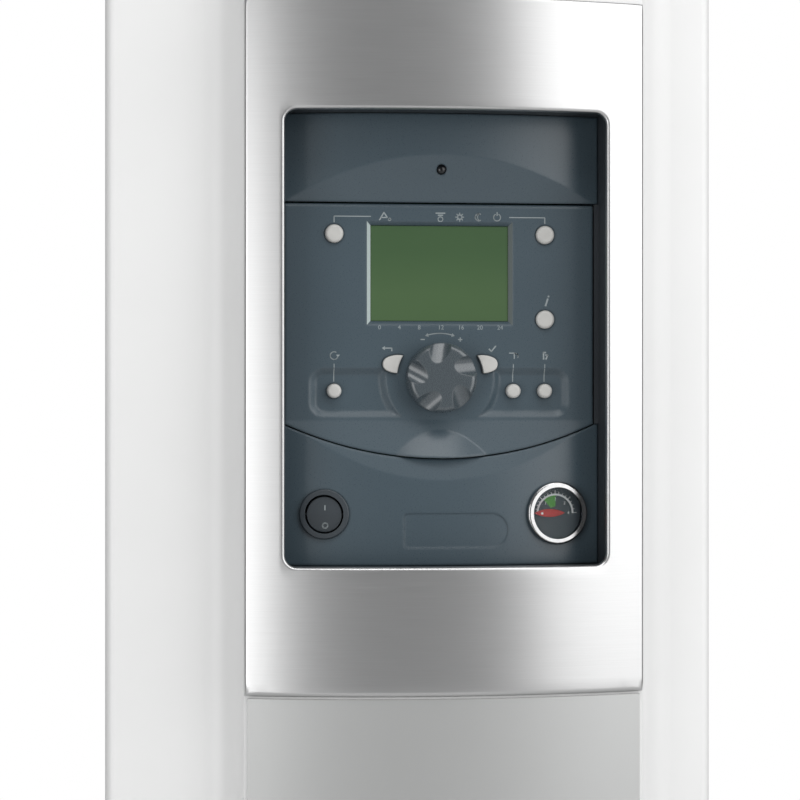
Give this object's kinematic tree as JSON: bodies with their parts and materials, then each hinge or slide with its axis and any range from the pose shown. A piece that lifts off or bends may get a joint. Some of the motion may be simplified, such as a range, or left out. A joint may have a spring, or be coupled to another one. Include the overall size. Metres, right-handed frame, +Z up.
{
  "type": "condensing boiler",
  "caption": "Wall-hung condensing boiler with a white coved casing, a convex aluminium fascia and a recessed control flap with display, rotary knob, keys, rocker switch and pressure gauge.",
  "frame": {"origin": "midway between the two wall fixing holes, on the wall plane", "axes": "+Z up, -Y out of the wall towards the viewer, +X to the right seen from the front"},
  "size_m": [0.385, 0.3952, 0.96],
  "materials": {
    "white_enamel": "satin",
    "galvanised_steel": "matte",
    "brushed_aluminium": "brushed",
    "satin_silver": "satin",
    "slate_plastic": "satin",
    "black_plastic": "matte",
    "key_plastic": "satin",
    "knob_plastic": "satin",
    "display_glass": "gloss",
    "lamp_plastic": "gloss",
    "circuit_board": "satin",
    "polished_steel": "polished",
    "chrome_ring": "polished",
    "clear_lens": "gloss",
    "red_needle": "satin",
    "stainless_steel": "brushed",
    "cast_aluminium": "cast",
    "impeller_plastic": "matte",
    "red_enamel": "gloss",
    "cast_iron_body": "painted",
    "copper_tube": "drawn"
  },
  "bodies": {
    "casing": {"back_panel": "galvanised_steel", "bottom_panel": "white_enamel", "burner_door": "cast_aluminium", "burner_tube": "stainless_steel", "cold_water_pipe": "copper_tube", "condensate_trap": "black_plastic", "control_box": "black_plastic", "cross_rails": "galvanised_steel", "exchanger_bracket": "galvanised_steel", "exchanger_coil": "stainless_steel", "expansion_vessel": "red_enamel", "fan_housing": "cast_aluminium", "fan_motor": "black_plastic", "flow_pipe": "copper_tube", "flue_collar": "white_enamel", "flue_duct": "white_enamel", "gas_pipe": "copper_tube", "gas_valve": "cast_aluminium", "gauge_bezel": "chrome_ring", "gauge_case": "black_plastic", "gauge_dial": "black_plastic", "gauge_lens": "clear_lens", "heat_exchanger": "stainless_steel", "hot_water_pipe": "copper_tube", "indicator_lamp": "lamp_plastic", "left_side_panel": "white_enamel", "lower_panel": "slate_plastic", "main_board": "circuit_board", "mixing_duct": "cast_aluminium", "plate_exchanger": "stainless_steel", "pump_body": "cast_iron_body", "pump_motor": "black_plastic", "return_pipe": "copper_tube", "right_side_panel": "white_enamel", "switch_collar": "black_plastic", "top_panel": "white_enamel", "upper_cover": "slate_plastic", "wall_bracket": "galvanised_steel"},
    "front_cover": {"front_panel": "white_enamel", "fascia": "brushed_aluminium", "lower_strip": "satin_silver"},
    "control_flap": {"control_flap": "slate_plastic", "hinge_pins": "polished_steel", "display_module": "display_glass", "operator_board": "circuit_board", "operator_back": "black_plastic", "encoder": "black_plastic"},
    "rotary_knob": {"rotary_knob": "knob_plastic"},
    "switch_rocker": {"switch_rocker": "black_plastic"},
    "gauge_needle": {"gauge_needle": "red_needle"},
    "fan_impeller": {"fan_impeller": "impeller_plastic"},
    "pump_impeller": {"pump_impeller": "impeller_plastic"},
    "hot_water_key": {"hot_water_key": "key_plastic"},
    "mode_key": {"mode_key": "key_plastic"},
    "info_key": {"info_key": "key_plastic"},
    "reset_key": {"reset_key": "key_plastic"},
    "sweep_key": {"sweep_key": "key_plastic"},
    "manual_key": {"manual_key": "key_plastic"},
    "escape_key": {"escape_key": "key_plastic"},
    "confirm_key": {"confirm_key": "key_plastic"}
  },
  "joints": [
    {"name": "front_cover_lift", "type": "slide", "parent": "casing", "child": "front_cover", "axis": [0, -1, 0], "range_m": [0, 0.25]},
    {"name": "flap_hinge", "type": "hinge", "parent": "casing", "child": "control_flap", "pos_m": [0, -0.3476, -0.0846], "axis": [-1, 0, 0], "range_deg": [0, 75]},
    {"name": "knob_turn", "type": "hinge", "parent": "control_flap", "child": "rotary_knob", "pos_m": [0, -0.3501, -0.1921], "axis": [0, 1, 0], "continuous": true},
    {"name": "rocker_tip", "type": "hinge", "parent": "casing", "child": "switch_rocker", "pos_m": [-0.07314, -0.35201, -0.2775], "axis": [-0.9846, 0.175, 0], "range_deg": [0, 12]},
    {"name": "needle_turn", "type": "hinge", "parent": "casing", "child": "gauge_needle", "pos_m": [0.0737, -0.35516, -0.2775], "axis": [-0.175, 0.9846, 0], "range_deg": [0, 180], "stiffness_Nm_per_rad": 0.0001},
    {"name": "fan_spin", "type": "hinge", "parent": "casing", "child": "fan_impeller", "pos_m": [-0.15, -0.26, -0.14], "axis": [0, 1, 0], "continuous": true},
    {"name": "pump_spin", "type": "hinge", "parent": "casing", "child": "pump_impeller", "pos_m": [-0.07, -0.17, -0.64], "axis": [0, 1, 0], "continuous": true},
    {"name": "hot_water_key_press", "type": "slide", "parent": "control_flap", "child": "hot_water_key", "axis": [0, 1, 0], "range_m": [0, 0.0012], "stiffness_N_per_m": 800},
    {"name": "mode_key_press", "type": "slide", "parent": "control_flap", "child": "mode_key", "axis": [0, 1, 0], "range_m": [0, 0.0012], "stiffness_N_per_m": 800},
    {"name": "info_key_press", "type": "slide", "parent": "control_flap", "child": "info_key", "axis": [0, 1, 0], "range_m": [0, 0.0012], "stiffness_N_per_m": 800},
    {"name": "reset_key_press", "type": "slide", "parent": "control_flap", "child": "reset_key", "axis": [0, 1, 0], "range_m": [0, 0.0012], "stiffness_N_per_m": 800},
    {"name": "sweep_key_press", "type": "slide", "parent": "control_flap", "child": "sweep_key", "axis": [0, 1, 0], "range_m": [0, 0.0012], "stiffness_N_per_m": 800},
    {"name": "manual_key_press", "type": "slide", "parent": "control_flap", "child": "manual_key", "axis": [0, 1, 0], "range_m": [0, 0.0012], "stiffness_N_per_m": 800},
    {"name": "escape_key_press", "type": "slide", "parent": "control_flap", "child": "escape_key", "axis": [0, 1, 0], "range_m": [0, 0.0012], "stiffness_N_per_m": 800},
    {"name": "confirm_key_press", "type": "slide", "parent": "control_flap", "child": "confirm_key", "axis": [0, 1, 0], "range_m": [0, 0.0012], "stiffness_N_per_m": 800}
  ]
}
